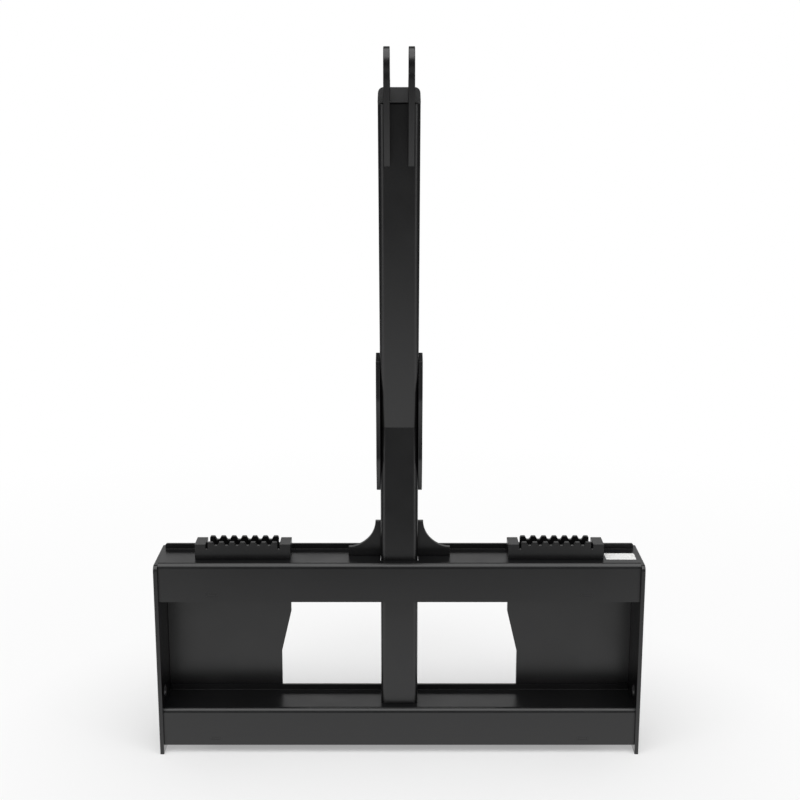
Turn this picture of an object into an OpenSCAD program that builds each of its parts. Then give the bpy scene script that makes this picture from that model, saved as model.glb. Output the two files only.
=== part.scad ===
// Tree boom for a skid loader. A welded frame of two formed rails and two side plates stands on
// the ground. A square mast rises from it and leans towards the tree above a mitred knee.
// Two hooks at the tip hold the chain round the trunk, and two toothed racks hold its ends.
// The tree side faces -Y. Depths are measured backwards from the front faces of the rails.

/* [Frame] */
// Width over the two side plates
frame_w = 1168.4; // [1000:0.1:1400]
// Height of the top rail's web above the ground
frame_h = 487.5; // [450:0.5:560]
// Thickness of the side plates
side_t = 9.5; // [6:0.5:16]
// Depth of the side plates, front to rear
side_d = 158; // [145:1:200]
// How far the side plates stand in front of the rails
side_proud = 8; // [0:0.5:15]
// How far the side plates' tops lie below the top rail's web
side_drop = 3; // [0:0.5:8]
// Radius of the side plates' upper front corners
side_corner_r = 14; // [4:1:30]
// Diameter of the hole in each side plate
side_hole_d = 32; // [20:0.5:45]
// Depth of that hole's centre
side_hole_back = 42; // [25:1:90]
// Height of that hole's centre above the bottom rail's web
side_hole_up = 30; // [26:1:120]

/* [Rails] */
// Thickness of the rails' plate
rail_t = 6.35; // [4:0.05:10]
// Height of the rails' front faces
rail_face_h = 95.25; // [70:0.25:120]
// Depth of the rails, up to the mount plates' front faces
rail_d = 118; // [112:0.5:130]
// Height of the rear lips above the webs
rail_lip_h = 13.5; // [11:0.5:24]
// Outer radius of the rails' front bends
rail_bend_r = 12.7; // [11:0.1:18]
// Inner radius of the bends at the foot of the rear lips
lip_bend_r = 0.5; // [0.5:0.5:6]
// Height of the bottom rail's lower edge above the ground
rail_clear = 21.5; // [15:0.5:40]
// Gap between each lip end and the side plate
lip_end_gap = 2; // [0.5:0.5:8]
// Chamfer on the upper corners of the lips
lip_chamfer = 3; // [1:0.5:4]

/* [Mast and boom] */
// Width of the square tube
tube_w = 88.9; // [70:0.1:110]
// Wall of the square tube
tube_t = 6.35; // [4:0.05:10]
// Outer corner radius of the square tube
tube_r = 12.7; // [11:0.1:20]
// Depth of the mast's front face
mast_back = 28; // [20:0.5:35]
// Gap round the mast where it passes through the top rail
mast_slip = 0.6; // [0.2:0.1:2]
// Height of the knee above the top rail's web, at the front
knee_up = 327.5; // [280:0.5:400]
// Length of the boom's front face from the knee to its tip
boom_len = 791; // [500:1:1100]
// How far the boom leans forward, in degrees
boom_lean = 18; // [5:0.5:35]
// Thickness of the boom's end cap
cap_t = 6.35; // [4:0.05:12]
// How far the end cap stands in front of the boom
cap_proud = 3; // [1:0.5:7]
// Depth of the weld bevel under the end cap's front edge
cap_bevel = 5; // [2:0.5:5]
// Height of the flat above that bevel
cap_land = 1; // [0.5:0.1:2]
// Width of the rounding on the end cap's rear corners
cap_nose_w = 11; // [4:0.5:12]
// Depth of that rounding
cap_nose_d = 36; // [10:1:60]

/* [Knee gussets] */
// Thickness of the knee gussets
knee_t = 9.5; // [6:0.5:16]
// How far their front edges stand in front of the tubes
knee_rim = 8; // [3:0.5:15]
// Tangent length of the hollow front edge, each way from the knee
knee_reach = 84; // [60:1:100]
// Distance from the knee up to the top edge
knee_top = 170; // [140:1:200]
// Distance from the knee down to the bottom edge
knee_bottom = 161; // [140:1:200]
// Length of the top and bottom edges
knee_land = 44; // [20:1:50]
// How far the top edge starts behind the boom's face
knee_top_in = 12; // [4:1:25]
// How far the bottom edge starts behind the mast's face
knee_bottom_in = 30; // [4:1:35]
// How far the rear edges lie inside the tubes' rear faces
knee_rear_in = 8; // [2:1:12]
// Length of the rear edges each way from the knee
knee_rear_len = 105; // [60:1:120]

/* [Chain hooks] */
// Thickness of the hook plates
hook_t = 13.2; // [8:0.1:16]
// Clear gap between the hook plates
hook_gap = 38; // [20:0.5:40]
// Length of the hook plates along the boom's face
hook_foot = 143; // [100:1:220]
// Height of the toe at the lower end
hook_toe = 3; // [2:0.5:14]
// Run of the toe's slope
hook_toe_run = 3; // [2:0.5:20]
// How far the front corner stands out from the line of the boom's face
hook_out = 45; // [16:1:60]
// Height of the front corner past the boom's tip
hook_corner = 59; // [40:1:70]
// Height of the horn above the front corner
horn_h = 67.5; // [50:0.5:90]
// Radius of the horn's round front
horn_r = 38; // [20:1:42]
// Radius of the throat that the chain lies in
throat_r = 80; // [60:1:90]
// Height of the throat's floor above the cap's rear edge
throat_up = 15; // [8:1:25]

/* [Base gussets] */
// Thickness of the base gussets
base_t = 12.7; // [6:0.1:20]
// Radius of their hollow edges
base_r = 65; // [40:1:90]
// Width of the flat at the top
base_top = 13; // [6:1:25]
// Height of the outer end
base_end = 22.5; // [8:0.5:35]
// Depth of their front faces
base_back = 62; // [40:1:70]

/* [Chain racks] */
// Distance from each rack's outer end to the side plate
rack_inset = 84.9; // [60:0.1:160]
// Length of the racks
rack_len = 229; // [215:1:250]
// Depth of the racks' front faces
rack_back = 35; // [20:1:40]
// Depth of the racks over both combs
rack_d = 55; // [45:1:60]
// Thickness of the comb plates
rack_t = 9; // [6:0.5:12]
// Height of the combs, teeth included
rack_h = 43; // [40:0.5:60]
// Number of teeth on each comb
teeth = 7; // [5:2:7]
// Distance from tooth to tooth
tooth_pitch = 25.4; // [22:0.1:27]
// Width of the teeth at their tips
tooth_tip = 10; // [6:0.5:14]
// Height of the teeth
tooth_h = 8.5; // [5:0.5:10]
// Width of the notch floors
notch_w = 6; // [4.5:0.5:8]
// Width of the end blocks
block_w = 26; // [18:1:26]
// Height of the end blocks
block_h = 38; // [30:0.5:40]
// Width of the slot between comb and end block
slot_w = 5; // [4.5:0.5:8]
// Height of the slot's floor
slot_floor = 25.5; // [15:0.5:28]

/* [Mount plates] */
// Thickness of the mount plates
plate_t = 9.5; // [6:0.5:13]
// Distance of the upper inner edges from the middle
plate_in = 267.7; // [200:0.1:300]
// How much wider the opening is between the lower inner edges, on each side
plate_flare = 25; // [0:1:45]
// Distance from the top rail's web down to the start of the slanted edge
flare_top = 164.5; // [120:0.5:190]
// Height of the slanted edge
flare_h = 106; // [60:1:120]
// Inner radius of the plates' bends
plate_bend_r = 6.35; // [5:0.05:10]
// Distance from the top rail's web down to the upper bend
hook_drop = 19; // [17:0.5:40]
// Length of the upper hook's flat
hook_flat = 24; // [16:1:32]
// Height of the lower bend above the ground
lip_up = 33; // [32:0.5:38]
// Length of the lower lip's flat
lip_flat = 30; // [24:1:32]
// Distance of the lock slots from the middle
lock_x = 430; // [380:1:480]
// Length of the lock slots
lock_w = 60; // [40:1:90]
// Height of the lock slots
lock_h = 19; // [12:0.5:20]

/* [Tie plates] */
// Thickness of the tie plates
tie_t = 6.35; // [4:0.05:7]
// Width of the tie plates
tie_w = 254; // [120:1:270]
// Height of the tie plates above the rails' lower edges
tie_up = 14; // [10:0.5:16]
// Width of the tabs that pass through the rails' faces
tab_w = 25.4; // [15:0.1:50]
// Gap round the tabs
tab_slip = 0.2; // [0.1:0.1:1]

/* [Hidden] */
$fn = 64;
paint = [0.13, 0.13, 0.14];
hook_bend = 135;
lip_bend = 60;
cut = 1;
inner_x = frame_w / 2 - side_t;
low_web_z = rail_clear + rail_face_h;
lip_front = rail_d - rail_t;
lip_bend_out = lip_bend_r + rail_t;
knee_z = frame_h + knee_up;
half_lean = boom_lean / 2;
rack_x = inner_x - rack_inset - rack_len / 2;
block_x = rack_len / 2 - block_w / 2;
comb_half = rack_len / 2 - block_w - slot_w;
bend_y = rail_d + plate_t + plate_bend_r;
bend_out = plate_bend_r + plate_t;
hook_z = frame_h - hook_drop;
hook_end = 180 - hook_bend;
lip_end = 180 + lip_bend;

// A point in the side view, out from the mast's front face and up from the knee
function on_mast(out, up) = [mast_back - out, knee_z + up];
// A point in the side view, out from the boom's front face and along it from the knee
function on_boom(out, along) = [
    mast_back - out * cos(boom_lean) - along * sin(boom_lean),
    knee_z - out * sin(boom_lean) + along * cos(boom_lean)
];
// Points of an arc, from one angle to another
function arc(c, r, from, to, steps) = [
    for (i = [0:steps]) let (a = from + (to - from) * i / steps) c + r * [cos(a), sin(a)]
];

hook_c = on_boom(hook_out, boom_len + hook_corner);
cap_rear = on_boom(-tube_w, boom_len);
front_y = hook_c[0];
rear_y = bend_y + bend_out * cos(hook_end) + hook_flat * sin(hook_end);
mid_y = (front_y + rear_y) / 2;

// Puts the origin on the ground, below the middle of the whole
module place() {
    translate([0, -mid_y, 0]) children();
}

// A plate drawn in the side view (depth, height) that starts at x
module side_view(x, t) {
    translate([x, 0, 0]) rotate([90, 0, 90]) linear_extrude(t) children();
}

// A plate drawn in the front view (x, height) whose front face is at depth y
module front_view(y, t) {
    translate([0, y + t, 0]) rotate([90, 0, 0]) linear_extrude(t) children();
}

// A quarter of a bend, in the quadrant that sx and sy point to
module quarter_bend(r_out, r_in, sx, sy) {
    intersection() {
        difference() {
            circle(r_out);
            circle(r_in);
        }
        translate([min(sx, 0) * r_out, min(sy, 0) * r_out]) square(r_out);
    }
}

// Section of a rail: face down at the front, web, and lip up at the rear
module rail_section() {
    translate([0, -rail_face_h]) square([rail_t, rail_face_h - rail_bend_r]);
    translate([rail_bend_r, -rail_t]) square([rail_d - rail_bend_r - lip_bend_out, rail_t]);
    translate([lip_front, lip_bend_r]) square([rail_t, rail_lip_h - lip_bend_r]);
    translate([rail_bend_r, -rail_bend_r]) quarter_bend(rail_bend_r, rail_bend_r - rail_t, -1, 1);
    translate([rail_d - lip_bend_out, lip_bend_r]) quarter_bend(lip_bend_out, lip_bend_r, 1, -1);
}

// Takes the corner off one end of a lip
module lip_end_cut() {
    end = inner_x - lip_end_gap;
    front_view(rail_d - lip_bend_out - cut, lip_bend_out + 2 * cut)
        polygon([
            [end, lip_bend_r], [end, rail_lip_h - lip_chamfer],
            [end - lip_chamfer, rail_lip_h], [end - lip_chamfer, rail_lip_h + cut],
            [inner_x + cut, rail_lip_h + cut], [inner_x + cut, lip_bend_r]
        ]);
}

// A formed rail with its web's top at height z, notched for the mast down to notch_z
module rail(z, notch_z) {
    translate([0, 0, z]) difference() {
        side_view(-inner_x, 2 * inner_x) rail_section();
        for (s = [0, 1]) mirror([s, 0, 0]) {
            lip_end_cut();
            translate([
                inner_x - tie_w / 2 - tab_w / 2 - tab_slip, -cut,
                tie_up - rail_face_h - tab_slip
            ])
                cube([tab_w + 2 * tab_slip, rail_t + 2 * cut, tie_t + 2 * tab_slip]);
        }
        translate([-tube_w / 2 - mast_slip, mast_back - mast_slip, notch_z])
            cube([tube_w + 2 * mast_slip, rail_d, rail_face_h]);
    }
}

module top_rail() {
    color(paint) place() rail(frame_h, -rail_t - cut);
}

// The mast stands on this rail's web, so only the lip is notched
module bottom_rail() {
    color(paint) place() rail(low_web_z, 0);
}

// An end plate of the frame, with its rounded upper front corner and its hole
module side_plate_right() {
    side_h = frame_h - side_drop;
    color(paint) place() side_view(inner_x, side_t) difference() {
        translate([-side_proud, 0]) square([side_d, side_h]);
        translate([-side_proud, side_h - side_corner_r]) difference() {
            translate([-cut, 0]) square([side_corner_r + cut, side_corner_r + cut]);
            translate([side_corner_r, 0]) circle(side_corner_r);
        }
        translate([side_hole_back, low_web_z + side_hole_up]) circle(d = side_hole_d);
    }
}

module side_plate_left() {
    mirror([1, 0, 0]) side_plate_right();
}

// One side of the mount plate's bent sheet, from the lip's end to the hook's end
function sheet_side(r) = let (
    lip_start = [bend_y, lip_up] + r * [cos(lip_end), sin(lip_end)],
    hook_start = [bend_y, hook_z] + r * [cos(hook_end), sin(hook_end)]
) concat(
    [lip_start + lip_flat * [-sin(lip_end), cos(lip_end)]],
    arc([bend_y, lip_up], r, lip_end, 180, 6),
    arc([bend_y, hook_z], r, 180, hook_end, 12),
    [hook_start + hook_flat * [sin(hook_end), -cos(hook_end)]]
);

// Section of the mount plate: hook at the top, wall, and lip at the bottom
module mount_section() {
    inner = sheet_side(plate_bend_r);
    polygon(concat(sheet_side(bend_out), [for (i = [len(inner) - 1:-1:0]) inner[i]]));
}

// Cutter for the slot that the machine's lock wedge drops through
module lock_slot() {
    mid_r = plate_bend_r + plate_t / 2;
    tilt = lip_bend - 90;
    translate([
        lock_x,
        bend_y + mid_r * cos(lip_end) + lip_flat / 2 * cos(tilt),
        lip_up + mid_r * sin(lip_end) + lip_flat / 2 * sin(tilt)
    ]) rotate([tilt, 0, 0]) {
        cube([lock_w - lock_h, lock_h, 3 * plate_t], center = true);
        for (s = [-1, 1]) translate([s * (lock_w - lock_h) / 2, 0, 0])
            cylinder(d = lock_h, h = 3 * plate_t, center = true);
    }
}

// Half of the loader interface, one bent plate welded between the side plate and the ties
module mount_plate_right() {
    low_in = plate_in + plate_flare;
    flare_z = frame_h - flare_top;
    color(paint) place() difference() {
        side_view(plate_in, inner_x - plate_in) mount_section();
        front_view(rail_d - cut, rear_y - rail_d + 2 * cut)
            polygon([
                [plate_in - cut, -cut], [low_in, -cut], [low_in, flare_z - flare_h],
                [plate_in, flare_z], [plate_in - cut, flare_z]
            ]);
        lock_slot();
    }
}

module mount_plate_left() {
    mirror([1, 0, 0]) mount_plate_right();
}

// A flat plate that ties a rail's face to the mount plate, with one tab through the face
module tie_right(z) {
    color(paint) place() translate([0, 0, z]) {
        translate([inner_x - tie_w, rail_t, 0]) cube([tie_w, rail_d - rail_t, tie_t]);
        translate([inner_x - tie_w / 2 - tab_w / 2, 0, 0]) cube([tab_w, rail_t, tie_t]);
    }
}

module upper_tie_right() {
    tie_right(frame_h - rail_face_h + tie_up);
}

module upper_tie_left() {
    mirror([1, 0, 0]) upper_tie_right();
}

module lower_tie_right() {
    tie_right(rail_clear + tie_up);
}

module lower_tie_left() {
    mirror([1, 0, 0]) lower_tie_right();
}

// A square with round corners, its front side on y = 0
module round_square(w, r) {
    translate([-w / 2, r]) square([w, w - 2 * r]);
    translate([-w / 2 + r, 0]) square([w - 2 * r, w]);
    for (x = [-1, 1], y = [r, w - r]) translate([x * (w / 2 - r), y]) circle(r);
}

// Section of the square tube, its front face on y = 0
module tube_section() {
    difference() {
        round_square(tube_w, tube_r);
        translate([0, tube_t]) round_square(tube_w - 2 * tube_t, tube_r - tube_t);
    }
}

// Everything above the mitre plane of the knee
module above_mitre() {
    size = 2 * (boom_len + knee_up);
    translate([0, mast_back, knee_z]) rotate([half_lean, 0, 0])
        translate([-size / 2, -size / 2, 0]) cube(size);
}

// The upright tube, from the bottom rail's web to the knee
module mast_tube() {
    color(paint) place() difference() {
        translate([0, mast_back, low_web_z])
            linear_extrude(knee_z - low_web_z + tube_w) tube_section();
        above_mitre();
    }
}

// The leaning tube, from the knee to the end cap
module boom_tube() {
    color(paint) place() intersection() {
        translate([0, mast_back, knee_z]) rotate([boom_lean, 0, 0])
            translate([0, 0, -tube_w]) linear_extrude(tube_w + boom_len - cap_t) tube_section();
        above_mitre();
    }
}

// Outline of the end cap, with its rear corners rounded off
module cap_outline() {
    polygon(concat(
        [[-tube_w / 2, -cap_proud], [tube_w / 2, -cap_proud]],
        [for (a = [0:15:90]) [
            tube_w / 2 - cap_nose_w * (1 - cos(a)), tube_w - cap_nose_d * (1 - sin(a))
        ]],
        [for (a = [90:-15:0]) [
            -tube_w / 2 + cap_nose_w * (1 - cos(a)), tube_w - cap_nose_d * (1 - sin(a))
        ]]
    ));
}

// Plate that closes the boom's tip, bevelled under its front edge
module boom_end_cap() {
    color(paint) place() translate([0, mast_back, knee_z]) rotate([boom_lean, 0, 0])
        translate([0, 0, boom_len - cap_t]) difference() {
            linear_extrude(cap_t) cap_outline();
            side_view(-tube_w / 2 - cut, tube_w + 2 * cut) polygon([
                [-cap_proud - cut, cap_t - cap_land], [-cap_proud, cap_t - cap_land],
                [-cap_proud + cap_bevel, 0], [-cap_proud + cap_bevel, -cut],
                [-cap_proud - cut, -cut]
            ]);
        }
}

// Plate beside the knee: a hollow front edge between two flanks, and a straight rear
module knee_outline() {
    hollow_r = knee_reach / tan(half_lean);
    hollow_z = knee_z - knee_rim * tan(half_lean) - knee_reach;
    rear = tube_w - knee_rear_in;
    polygon(concat(
        [on_mast(-knee_bottom_in, -knee_bottom)],
        arc([mast_back - knee_rim - hollow_r, hollow_z], hollow_r, 0, boom_lean, 12),
        [
            on_boom(-knee_top_in, knee_top), on_boom(-knee_top_in - knee_land, knee_top),
            on_boom(-rear, knee_rear_len), on_mast(-rear, rear * tan(half_lean)),
            on_mast(-rear, -knee_rear_len),
            on_mast(-knee_bottom_in - knee_land, -knee_bottom)
        ]
    ));
}

module knee_gusset_right() {
    color(paint) place() side_view(tube_w / 2, knee_t) knee_outline();
}

module knee_gusset_left() {
    mirror([1, 0, 0]) knee_gusset_right();
}

// Side view of a hook: foot on the boom's face, horn at the front, throat above the end cap
module hook_outline() {
    foot = boom_len - hook_foot;
    horn_top = hook_c[1] + horn_h;
    throat_c = cap_rear + [-throat_r / 10, throat_up + throat_r];
    throat_from = 204;
    throat_to = 270 + asin(1 / 10);
    polygon(concat(
        [on_boom(0, foot), on_boom(hook_toe, foot + hook_toe_run), hook_c],
        arc([hook_c[0] + horn_r, horn_top - horn_r], horn_r, 180, 100, 10),
        arc(throat_c, throat_r, throat_from, throat_to, 12),
        [
            cap_rear, on_boom(cap_proud, boom_len), on_boom(cap_proud, boom_len - cap_t),
            on_boom(0, boom_len - cap_t)
        ]
    ));
}

module chain_hook_right() {
    color(paint) place() side_view(hook_gap / 2, hook_t) hook_outline();
}

module chain_hook_left() {
    mirror([1, 0, 0]) chain_hook_right();
}

// Brace between the mast's side and the top rail's web, with a hollow edge
module base_gusset_right() {
    color(paint) place() translate([tube_w / 2, 0, frame_h]) front_view(base_back, base_t)
        difference() {
            square([base_top + base_r, base_end + base_r]);
            translate([base_top + base_r, base_end + base_r]) circle(base_r);
        }
}

module base_gusset_left() {
    mirror([1, 0, 0]) base_gusset_right();
}

// Front view of a comb, its middle on x = 0 and its lower edge, on the rail's web, on y = 0
module comb_outline() {
    tooth_root = tooth_pitch - notch_w;
    root = rack_h - tooth_h;
    translate([-rack_len / 2, 0]) square([rack_len, slot_floor]);
    for (s = [-1, 1]) translate([s * block_x - block_w / 2, 0]) square([block_w, block_h]);
    translate([-comb_half, 0]) square([2 * comb_half, root]);
    intersection() {
        translate([-comb_half, root - cut]) square([2 * comb_half, tooth_h + cut]);
        for (i = [0:teeth - 1]) translate([(i - (teeth - 1) / 2) * tooth_pitch, 0])
            polygon([
                [-tooth_root / 2, root - cut], [tooth_root / 2, root - cut],
                [tooth_root / 2, root], [tooth_tip / 2, rack_h],
                [-tooth_tip / 2, rack_h], [-tooth_root / 2, root]
            ]);
    }
}

// A comb plate of a rack with its front face at depth y
module comb_right(y) {
    color(paint) place() translate([rack_x, 0, frame_h]) front_view(y, rack_t) comb_outline();
}

module rack_front_comb_right() {
    comb_right(rack_back);
}

module rack_front_comb_left() {
    mirror([1, 0, 0]) rack_front_comb_right();
}

module rack_rear_comb_right() {
    comb_right(rack_back + rack_d - rack_t);
}

module rack_rear_comb_left() {
    mirror([1, 0, 0]) rack_rear_comb_right();
}

// A block that joins the two combs at one end of a rack and stands on the web
module block_right(x) {
    color(paint) place() translate([rack_x + x - block_w / 2, rack_back + rack_t, frame_h])
        cube([block_w, rack_d - 2 * rack_t, block_h]);
}

module rack_outer_block_right() {
    block_right(block_x);
}

module rack_outer_block_left() {
    mirror([1, 0, 0]) rack_outer_block_right();
}

module rack_inner_block_right() {
    block_right(-block_x);
}

module rack_inner_block_left() {
    mirror([1, 0, 0]) rack_inner_block_right();
}

top_rail();
bottom_rail();
side_plate_left();
side_plate_right();
mount_plate_left();
mount_plate_right();
upper_tie_left();
upper_tie_right();
lower_tie_left();
lower_tie_right();
mast_tube();
base_gusset_left();
base_gusset_right();
boom_tube();
boom_end_cap();
knee_gusset_left();
knee_gusset_right();
chain_hook_left();
chain_hook_right();
rack_front_comb_left();
rack_rear_comb_left();
rack_outer_block_left();
rack_inner_block_left();
rack_front_comb_right();
rack_rear_comb_right();
rack_outer_block_right();
rack_inner_block_right();
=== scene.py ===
import math

import bpy
import numpy as np
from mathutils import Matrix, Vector


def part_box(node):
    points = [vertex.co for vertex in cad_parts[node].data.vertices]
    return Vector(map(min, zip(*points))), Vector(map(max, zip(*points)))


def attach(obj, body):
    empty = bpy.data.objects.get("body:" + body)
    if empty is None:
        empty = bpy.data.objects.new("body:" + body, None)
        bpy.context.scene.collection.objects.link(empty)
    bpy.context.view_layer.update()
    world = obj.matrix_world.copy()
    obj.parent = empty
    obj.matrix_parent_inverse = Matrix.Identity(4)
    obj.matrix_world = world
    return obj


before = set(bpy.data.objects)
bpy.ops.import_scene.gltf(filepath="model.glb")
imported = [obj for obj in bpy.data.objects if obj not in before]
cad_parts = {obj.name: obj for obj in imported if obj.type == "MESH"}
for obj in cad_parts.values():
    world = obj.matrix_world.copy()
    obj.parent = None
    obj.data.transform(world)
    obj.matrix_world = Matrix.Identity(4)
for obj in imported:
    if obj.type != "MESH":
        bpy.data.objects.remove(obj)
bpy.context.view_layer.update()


# Camera: it stands in front of the tree side, about as high as the boom's tip, and looks a little
# downwards. Its place, measured from the rails' front faces, and its lens follow from where the
# mast, the boom and the frame's sides meet in the photograph.
photo_px = 800
focal_px = 1412
sensor_mm = 36
rail_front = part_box("top_rail")[0][1]
eye_side, eye_front, eye_height = 0.0017, rail_front - 3.176, 1.624
look_down = math.radians(13.05)

camera_data = bpy.data.cameras.new("camera")
camera_data.sensor_width = sensor_mm
camera_data.lens = sensor_mm * focal_px / photo_px
camera = bpy.data.objects.new("camera", camera_data)
camera.location = (eye_side, eye_front, eye_height)
camera.rotation_euler = (math.pi / 2 - look_down, 0, 0)
bpy.context.scene.collection.objects.link(camera)
bpy.context.scene.camera = camera
bpy.context.scene.view_settings.view_transform = "Standard"


def linear(code):
    """Turns an sRGB hex code to linear colour.

    A share c is c / 12.92 up to 0.04045, and ((c + 0.055) / 1.055) to the power 2.4 above that.
    """
    shares = [int(code[i:i + 2], 16) / 255 for i in (1, 3, 5)]
    return [c / 12.92 if c <= 0.04045 else ((c + 0.055) / 1.055) ** 2.4 for c in shares] + [1.0]


def add_node(tree, kind, inputs=(), **settings):
    """Adds a node. The inputs map each socket to its value, or to the output socket that feeds it."""
    node = tree.nodes.new(kind)
    for name, value in settings.items():
        setattr(node, name, value)
    for socket, value in dict(inputs).items():
        if isinstance(value, bpy.types.NodeSocket):
            tree.links.new(value, node.inputs[socket])
        else:
            node.inputs[socket].default_value = value
    return node


# Room: a white studio with the ceiling unlit but for a great softbox, which hangs over the object and
# towards the camera. The camera sees white all round. The light, and what shines, sees the softbox,
# the cyclorama behind the object, and the dim front of the room. Each pair of a row of steps is the
# sine of a height above the horizon, and how bright the room is there. The front turns into the
# cyclorama between two places along Y. Between two places along X the room gets darker, from the
# middle share to the side share.
white = linear("#ffffff")
cyclorama_steps = ((0.0, 0.2), (0.25, 0.4), (0.36, 0.8), (0.42, 0.95), (0.46, 0.95), (0.51, 0.03),
                   (0.8, 0.03), (0.88, 0.3), (0.91, 2.2))
front_steps = ((0.0, 0.05), (0.3, 0.12), (0.5, 0.22), (0.64, 0.45), (0.72, 2.6), (0.88, 2.6),
               (0.91, 2.2))
turn_from, turn_to = -0.2, 0.2
narrow_from, narrow_to = 0.6, 0.85
middle_share, side_share = 1.0, 0.1

# A colour mix has sockets that share a name, so its colours go by number
first_colour, second_colour, mixed_colour = 6, 7, 2


def grade(ramp, steps):
    """Puts the (place, grey) steps on a colour ramp, which mixes the greys between them."""
    stops = ramp.color_ramp.elements
    for stop, (place, grey) in zip(list(stops), (steps[0], steps[-1])):
        stop.position = place
        stop.color = (grey, grey, grey, 1.0)
    for place, grey in steps[1:-1]:
        stops.new(place).color = (grey, grey, grey, 1.0)


world = bpy.data.worlds.new("studio")
world.use_nodes = True
bpy.context.scene.world = world
room = world.node_tree
room.nodes.clear()
ray = add_node(room, "ShaderNodeLightPath")
direction = add_node(room, "ShaderNodeTexCoord")
axes = add_node(room, "ShaderNodeSeparateXYZ", {0: direction.outputs["Generated"]})
front = add_node(room, "ShaderNodeValToRGB", {"Fac": axes.outputs["Z"]})
grade(front, front_steps)
cyclorama = add_node(room, "ShaderNodeValToRGB", {"Fac": axes.outputs["Z"]})
grade(cyclorama, cyclorama_steps)
behind = add_node(room, "ShaderNodeMapRange", {
    "Value": axes.outputs["Y"], "From Min": turn_from, "From Max": turn_to,
}, interpolation_type="SMOOTHSTEP")
lit = add_node(room, "ShaderNodeMix", {
    "Factor": behind.outputs[0], first_colour: front.outputs["Color"],
    second_colour: cyclorama.outputs["Color"],
}, data_type="RGBA")
seen = add_node(room, "ShaderNodeMix", {
    "Factor": ray.outputs["Is Camera Ray"], first_colour: lit.outputs[mixed_colour],
    second_colour: white,
}, data_type="RGBA")
aside = add_node(room, "ShaderNodeMath", {0: axes.outputs["X"]}, operation="ABSOLUTE")
narrow = add_node(room, "ShaderNodeMapRange", {
    "Value": aside.outputs[0], "From Min": narrow_from, "From Max": narrow_to,
    "To Min": middle_share, "To Max": side_share,
})
strength = add_node(room, "ShaderNodeMath", {0: narrow.outputs[0], 1: ray.outputs["Is Camera Ray"]},
                    operation="MAXIMUM")
sky = add_node(room, "ShaderNodeBackground", {
    "Color": seen.outputs[mixed_colour], "Strength": strength.outputs[0],
})
add_node(room, "ShaderNodeOutputWorld", {"Surface": sky.outputs[0]})


# Floor: white studio paper over lit acrylic, one flat sheet that fades into the white background.
# It keeps the object's shadow. What shines sees a painted reflection instead: a glowing sheet with a
# painted pool of light round the object, and painted shade in front of it where the camera stands.
# The white steps are pairs of a distance from the object and how far the paper has faded there. The
# painted pool steps are pairs of a distance in front of the object and how bright the painted pool
# is there. To the sides the painted shade clears up, and then the painted pool ends. All distances
# are in metres.
floor_half = 20.0
paper_white = linear("#e6e6e6")
paper_rough = 1.0
paper_glow = 0.3
full_glow = 1.0
white_steps = ((0.0, 0.0), (0.45, 0.0), (0.75, 0.3), (1.1, 0.75), (3.0, 1.0))
white_reach = white_steps[-1][0]
# Painted pool of light and painted shade on the floor, which only reflections see.
painted_pool_steps = ((0.0, 1.0), (0.85, 0.92), (1.2, 0.52), (1.6, 0.18), (2.0, 0.02), (3.0, 0.02),
              (3.6, 0.45))
painted_pool_reach = painted_pool_steps[-1][0]
clear_from, clear_to = 0.8, 1.15
edge_from, edge_to = 1.5, 1.9
edge_share = 0.1

floor_mesh = bpy.data.meshes.new("floor")
corners = floor_half * np.array([(-1, -1, 0), (1, -1, 0), (1, 1, 0), (-1, 1, 0)])
floor_mesh.from_pydata(corners.tolist(), [], [(0, 1, 2, 3)])
floor = bpy.data.objects.new("floor", floor_mesh)
bpy.context.scene.collection.objects.link(floor)

paper = bpy.data.materials.new("matt_studio_paper")
paper.use_nodes = True
tree = paper.node_tree
tree.nodes.clear()
ray = add_node(tree, "ShaderNodeLightPath")
place = add_node(tree, "ShaderNodeTexCoord")
axes = add_node(tree, "ShaderNodeSeparateXYZ", {0: place.outputs["Object"]})
radius = add_node(tree, "ShaderNodeVectorMath", {0: place.outputs["Object"]}, operation="LENGTH")
reach = add_node(tree, "ShaderNodeMath", {0: radius.outputs["Value"], 1: 1 / white_reach},
                 operation="MULTIPLY")
faded = add_node(tree, "ShaderNodeValToRGB", {"Fac": reach.outputs[0]})
grade(faded, [(distance / white_reach, share) for distance, share in white_steps])
whiten = add_node(tree, "ShaderNodeMath", {0: ray.outputs["Is Camera Ray"], 1: faded.outputs["Color"]},
                  operation="MULTIPLY")
matt = add_node(tree, "ShaderNodeBsdfDiffuse", {"Color": paper_white, "Roughness": paper_rough})
glow = add_node(tree, "ShaderNodeEmission", {"Color": white, "Strength": full_glow})
near_paper = add_node(tree, "ShaderNodeMixShader", {0: paper_glow, 1: matt.outputs[0], 2: glow.outputs[0]})
lit_paper = add_node(tree, "ShaderNodeMixShader", {
    0: whiten.outputs[0], 1: near_paper.outputs[0], 2: glow.outputs[0],
})
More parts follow.
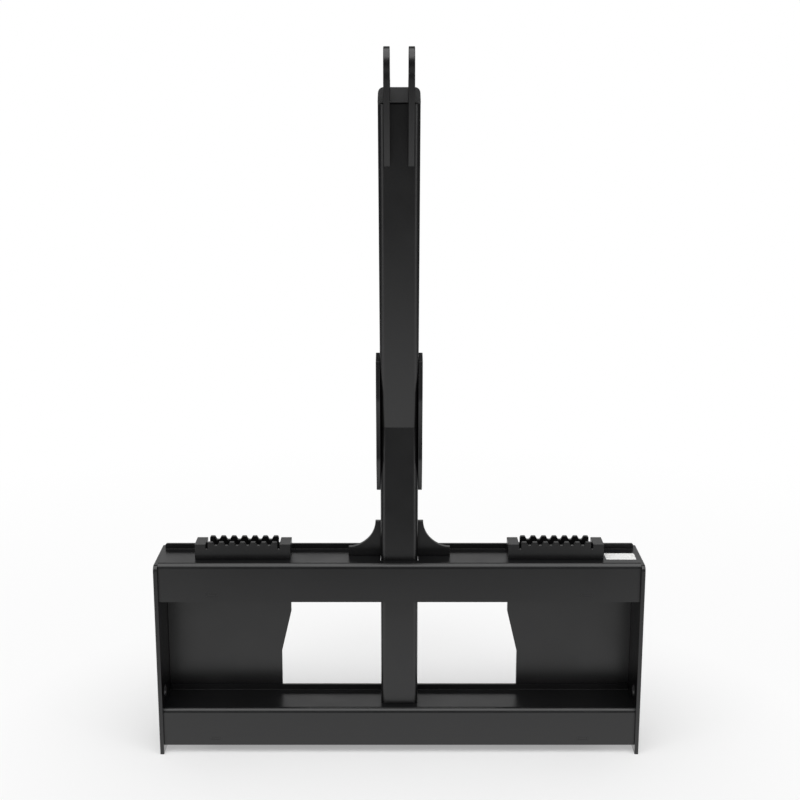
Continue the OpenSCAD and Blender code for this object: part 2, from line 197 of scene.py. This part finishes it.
# Painted reflection: for shining rays the floor is an emission, a painted pool of light round the object
# and painted shade in front of it, which clears to the sides.
ahead = add_node(tree, "ShaderNodeMath", {0: axes.outputs["Y"], 1: -1 / painted_pool_reach},
                 operation="MULTIPLY")
painted_pool_grey = add_node(tree, "ShaderNodeValToRGB", {"Fac": ahead.outputs[0]})
grade(painted_pool_grey, [(distance / painted_pool_reach, grey) for distance, grey in painted_pool_steps])
aside = add_node(tree, "ShaderNodeMath", {0: axes.outputs["X"]}, operation="ABSOLUTE")
clear = add_node(tree, "ShaderNodeMapRange", {
    "Value": aside.outputs[0], "From Min": clear_from, "From Max": clear_to,
}, interpolation_type="SMOOTHSTEP")
painted_pool = add_node(tree, "ShaderNodeMix", {
    "Factor": clear.outputs[0], first_colour: painted_pool_grey.outputs["Color"], second_colour: white,
}, data_type="RGBA")
painted_pool_share = add_node(tree, "ShaderNodeMapRange", {
    "Value": aside.outputs[0], "From Min": edge_from, "From Max": edge_to,
    "To Min": middle_share, "To Max": edge_share,
}, interpolation_type="SMOOTHSTEP")
painted_reflection = add_node(tree, "ShaderNodeEmission", {
    "Color": painted_pool.outputs[mixed_colour], "Strength": painted_pool_share.outputs[0],
})
shining = add_node(tree, "ShaderNodeMath", {
    0: ray.outputs["Is Glossy Ray"], 1: ray.outputs["Is Transmission Ray"],
}, operation="MAXIMUM")
sheet = add_node(tree, "ShaderNodeMixShader", {
    0: shining.outputs[0], 1: lit_paper.outputs[0], 2: painted_reflection.outputs[0],
})
add_node(tree, "ShaderNodeOutputMaterial", {"Surface": sheet.outputs[0]})
floor_mesh.materials.append(paper)


# Light: a tall softbox on either side of the camera lights the front. Its reflection runs down the
# round corners of the tubes.
softbox_width, softbox_height = 0.5, 1.6
softbox_watts = 6
softbox_side, softbox_front, softbox_middle = 1.7, -1.6, 0.8

for side in (-1, 1):
    lamp = bpy.data.lights.new("side_softbox", "AREA")
    lamp.shape = "RECTANGLE"
    lamp.size, lamp.size_y = softbox_width, softbox_height
    lamp.energy = softbox_watts
    softbox = bpy.data.objects.new("side_softbox", lamp)
    softbox.location = (side * softbox_side, softbox_front, softbox_middle)
    towards_object = Vector((-side * softbox_side, -softbox_front, 0))
    softbox.rotation_euler = towards_object.to_track_quat("-Z", "Y").to_euler()
    softbox.visible_camera = False
    bpy.context.scene.collection.objects.link(softbox)


# Rails: two channels of steel plate with the same section, which a press brake forms: a face down
# at the front, a web, and a low lip up at the rear. They are welded between the side plates.
# The whole weldment has one finish, a satin black polyester powder coat, sprayed on and baked. It
# hides the steel, rounds its edges, flows to a fine orange peel, and shines unevenly in soft
# patches. The patches are 90 mm wide, and the peel's dimples are 2.5 mm wide and 0.02 mm deep.
coat_black = linear("#0e0e0f")
coat_worn = linear("#121213")
coat_ior = 1.55
gloss_smooth, gloss_dull = 0.28, 0.34
patch_size = 0.09
patch_detail = 3.0
peel_size = 0.0025
peel_detail = 2.0
peel_depth = 0.00002
peel_share = 1.0
noise_low, noise_high = 0.3, 0.7
joined_within = 1e-6
flat_within = math.radians(0.5)
sharp_from = math.radians(40)
edge_facets = 2
rail_edge = 0.0012
rail_shift = 0.0


def powder_coat(name, shift):
    """Makes the coat as a material. The shift moves its patches, so that no two groups have the same."""
    coat = bpy.data.materials.new(name)
    coat.use_nodes = True
    tree = coat.node_tree
    tree.nodes.clear()
    place = add_node(tree, "ShaderNodeTexCoord")
    moved = add_node(tree, "ShaderNodeMapping", {
        "Vector": place.outputs["Object"], "Location": (shift, shift, 0),
    })
    patches = add_node(tree, "ShaderNodeTexNoise", {
        "Vector": moved.outputs[0], "Scale": 1 / patch_size, "Detail": patch_detail,
    })
    colour = add_node(tree, "ShaderNodeMix", {
        "Factor": patches.outputs["Fac"], first_colour: coat_black, second_colour: coat_worn,
    }, data_type="RGBA")
    gloss = add_node(tree, "ShaderNodeMapRange", {
        "Value": patches.outputs["Fac"], "From Min": noise_low, "From Max": noise_high,
        "To Min": gloss_smooth, "To Max": gloss_dull,
    })
    peel = add_node(tree, "ShaderNodeTexNoise", {
        "Vector": moved.outputs[0], "Scale": 1 / peel_size, "Detail": peel_detail,
    })
    bump = add_node(tree, "ShaderNodeBump", {
        "Height": peel.outputs["Fac"], "Strength": peel_share, "Distance": peel_depth,
    })
    shader = add_node(tree, "ShaderNodeBsdfPrincipled", {
        "Base Color": colour.outputs[mixed_colour], "Roughness": gloss.outputs[0],
        "IOR": coat_ior, "Normal": bump.outputs[0],
    })
    add_node(tree, "ShaderNodeOutputMaterial", {"Surface": shader.outputs[0]})
    return coat


def paint(names, coat, edge):
    """Coats the named pieces and rounds their edges to the given width, as grinding and paint do.

    The triangles of a face are joined first, so that only the real edges are rounded.
    """
    for name in names:
        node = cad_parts[name]
        node.data.materials.clear()
        node.data.materials.append(coat)
        weld = node.modifiers.new("joined_triangles", "WELD")
        weld.merge_threshold = joined_within
        flats = node.modifiers.new("whole_faces", "DECIMATE")
        flats.decimate_type = "DISSOLVE"
        flats.angle_limit = flat_within
        edges = node.modifiers.new("painted_edges", "BEVEL")
        edges.width = edge
        edges.segments = edge_facets
        edges.limit_method = "ANGLE"
        edges.angle_limit = sharp_from
        normals = node.modifiers.new("even_flats", "WEIGHTED_NORMAL")
        normals.keep_sharp = True
        node.data.shade_smooth()


rail_coat = powder_coat("satin_powder_coat_on_rails", rail_shift)
paint(("top_rail", "bottom_rail"), rail_coat, rail_edge)


# Side plates: flat plates, cut from sheet with a torch or laser, that close the frame's ends and
# carry it on the ground. Each has one round hole near the lower rail. Their cut edges are ground.
side_edge = 0.0012
side_shift = 1.7

side_coat = powder_coat("satin_powder_coat_on_side_plates", side_shift)
paint(("side_plate_left", "side_plate_right"), side_coat, side_edge)


# Mount plates: the two halves of the loader interface, each one bent plate with a hook at the top
# and a slotted lip at the bottom. They are welded to the side plates, the lower rail and the ties.
plate_edge = 0.001
plate_shift = 3.1

plate_coat = powder_coat("satin_powder_coat_on_mount_plates", plate_shift)
paint(("mount_plate_left", "mount_plate_right"), plate_coat, plate_edge)


# Ties: flat plates behind the rails' faces, each held by a tab in a slot of the face. The slot is
# welded shut and ground, so that only a faint outline shows under the paint.
tie_edge = 0.0003
tie_shift = 4.9

tie_coat = powder_coat("satin_powder_coat_on_ties", tie_shift)
paint(("upper_tie_left", "upper_tie_right", "lower_tie_left", "lower_tie_right"), tie_coat, tie_edge)


# Mast and boom: two lengths of the same square steel tube, cut on a mitre and welded at the knee.
# The tube's own corners are round. A flat cap closes the boom's tip.
tube_edge = 0.0008
cap_edge = 0.0012
tube_shift = 6.3

tube_coat = powder_coat("satin_powder_coat_on_tubes", tube_shift)
paint(("mast_tube", "boom_tube"), tube_coat, tube_edge)
paint(("boom_end_cap",), tube_coat, cap_edge)


# Gussets: plates that are welded beside the knee and beside the mast's foot, each with one hollow
# edge. Their edges come from the cutter and are ground.
gusset_edge = 0.0012
gusset_shift = 8.2

gusset_coat = powder_coat("satin_powder_coat_on_gussets", gusset_shift)
paint(("knee_gusset_left", "knee_gusset_right"), gusset_coat, gusset_edge)
paint(("base_gusset_left", "base_gusset_right"), gusset_coat, gusset_edge)


# Chain hooks: two plates on the boom's face with a round horn in front of a hollow throat, in which
# the chain lies. Their edges are ground rounder than the others, so that they don't cut into it.
hook_edge = 0.0018
hook_shift = 9.6

hook_coat = powder_coat("satin_powder_coat_on_hooks", hook_shift)
paint(("chain_hook_left", "chain_hook_right"), hook_coat, hook_edge)


# Chain racks: on each side two toothed combs cut from plate, joined by a block at either end and
# welded on the top rail's web. A chain link drops on edge into the notches.
rack_edge = 0.0012
rack_shift = 11.4

rack_coat = powder_coat("satin_powder_coat_on_racks", rack_shift)
for side in ("left", "right"):
    paint(("rack_front_comb_" + side, "rack_rear_comb_" + side, "rack_outer_block_" + side,
           "rack_inner_block_" + side), rack_coat, rack_edge)


# Label: a blank sticker of white vinyl on the top rail's web, between the right rack and the side
# plate. It is 0.2 mm thick, has round corners, and its edges dip onto the paint. Its gloss varies a
# little, in patches of 20 mm.
label_left, label_right = 0.4960, 0.5685
label_front, label_rear = 0.0341, 0.0781
label_corner = 0.003
label_thick = 0.0002
label_rings, label_turns = 6, 48
label_first_ring, label_last_ring = 0.2, 0.995
label_white = linear("#f4f4f2")
label_gloss, label_dull = 0.3, 0.4
label_haze = 0.02
label_haze_detail = 2.0
label_ior = 1.5


def sticker(left, right, front, rear, z, corner, thick, rings, turns):
    """A flat sheet with round corners as rings about its middle, from the centre to the edge and down.

    A point of the outline is the corner centre plus the corner radius along the angle. The ring at
    share s lies at s of the way from the middle to the outline. The height is full inside, and
    falls to nothing at the outline.
    """
    angle = 2 * math.pi * (np.arange(turns) + 0.5) / turns
    half_x, half_y = (right - left) / 2, (rear - front) / 2
    x = np.sign(np.cos(angle)) * (half_x - corner) + corner * np.cos(angle)
    y = np.sign(np.sin(angle)) * (half_y - corner) + corner * np.sin(angle)
    share = np.concatenate([np.linspace(label_first_ring, label_last_ring, rings), [1.0]])
    height = np.concatenate([np.full(rings, thick), [0.0]])
    grid = np.stack([
        (left + right) / 2 + np.outer(share, x),
        (front + rear) / 2 + np.outer(share, y),
        z + np.repeat(height[:, None], turns, axis=1),
    ], axis=-1)
    i, j = np.meshgrid(np.arange(rings), np.arange(turns), indexing="ij")
    k = (j + 1) % turns
    faces = np.stack([i * turns + j, (i + 1) * turns + j, (i + 1) * turns + k, i * turns + k], axis=-1)
    mesh = bpy.data.meshes.new("blank_label")
    middle = list(range(turns))
    mesh.from_pydata(grid.reshape(-1, 3).tolist(), [], faces.reshape(-1, 4).tolist() + [middle])
    mesh.update()
    return mesh


web_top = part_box("rack_front_comb_right")[0][2]
label_mesh = sticker(label_left, label_right, rail_front + label_front, rail_front + label_rear, web_top,
                     label_corner, label_thick, label_rings, label_turns)
label = bpy.data.objects.new("blank_label", label_mesh)
bpy.context.scene.collection.objects.link(label)

vinyl = bpy.data.materials.new("white_vinyl_film")
vinyl.use_nodes = True
tree = vinyl.node_tree
tree.nodes.clear()
place = add_node(tree, "ShaderNodeTexCoord")
haze = add_node(tree, "ShaderNodeTexNoise", {
    "Vector": place.outputs["Object"], "Scale": 1 / label_haze, "Detail": label_haze_detail,
})
gloss = add_node(tree, "ShaderNodeMapRange", {
    "Value": haze.outputs["Fac"], "From Min": noise_low, "From Max": noise_high,
    "To Min": label_gloss, "To Max": label_dull,
})
shader = add_node(tree, "ShaderNodeBsdfPrincipled", {
    "Base Color": label_white, "Roughness": gloss.outputs[0], "IOR": label_ior,
})
add_node(tree, "ShaderNodeOutputMaterial", {"Surface": shader.outputs[0]})
label_mesh.materials.append(vinyl)
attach(label, "root")
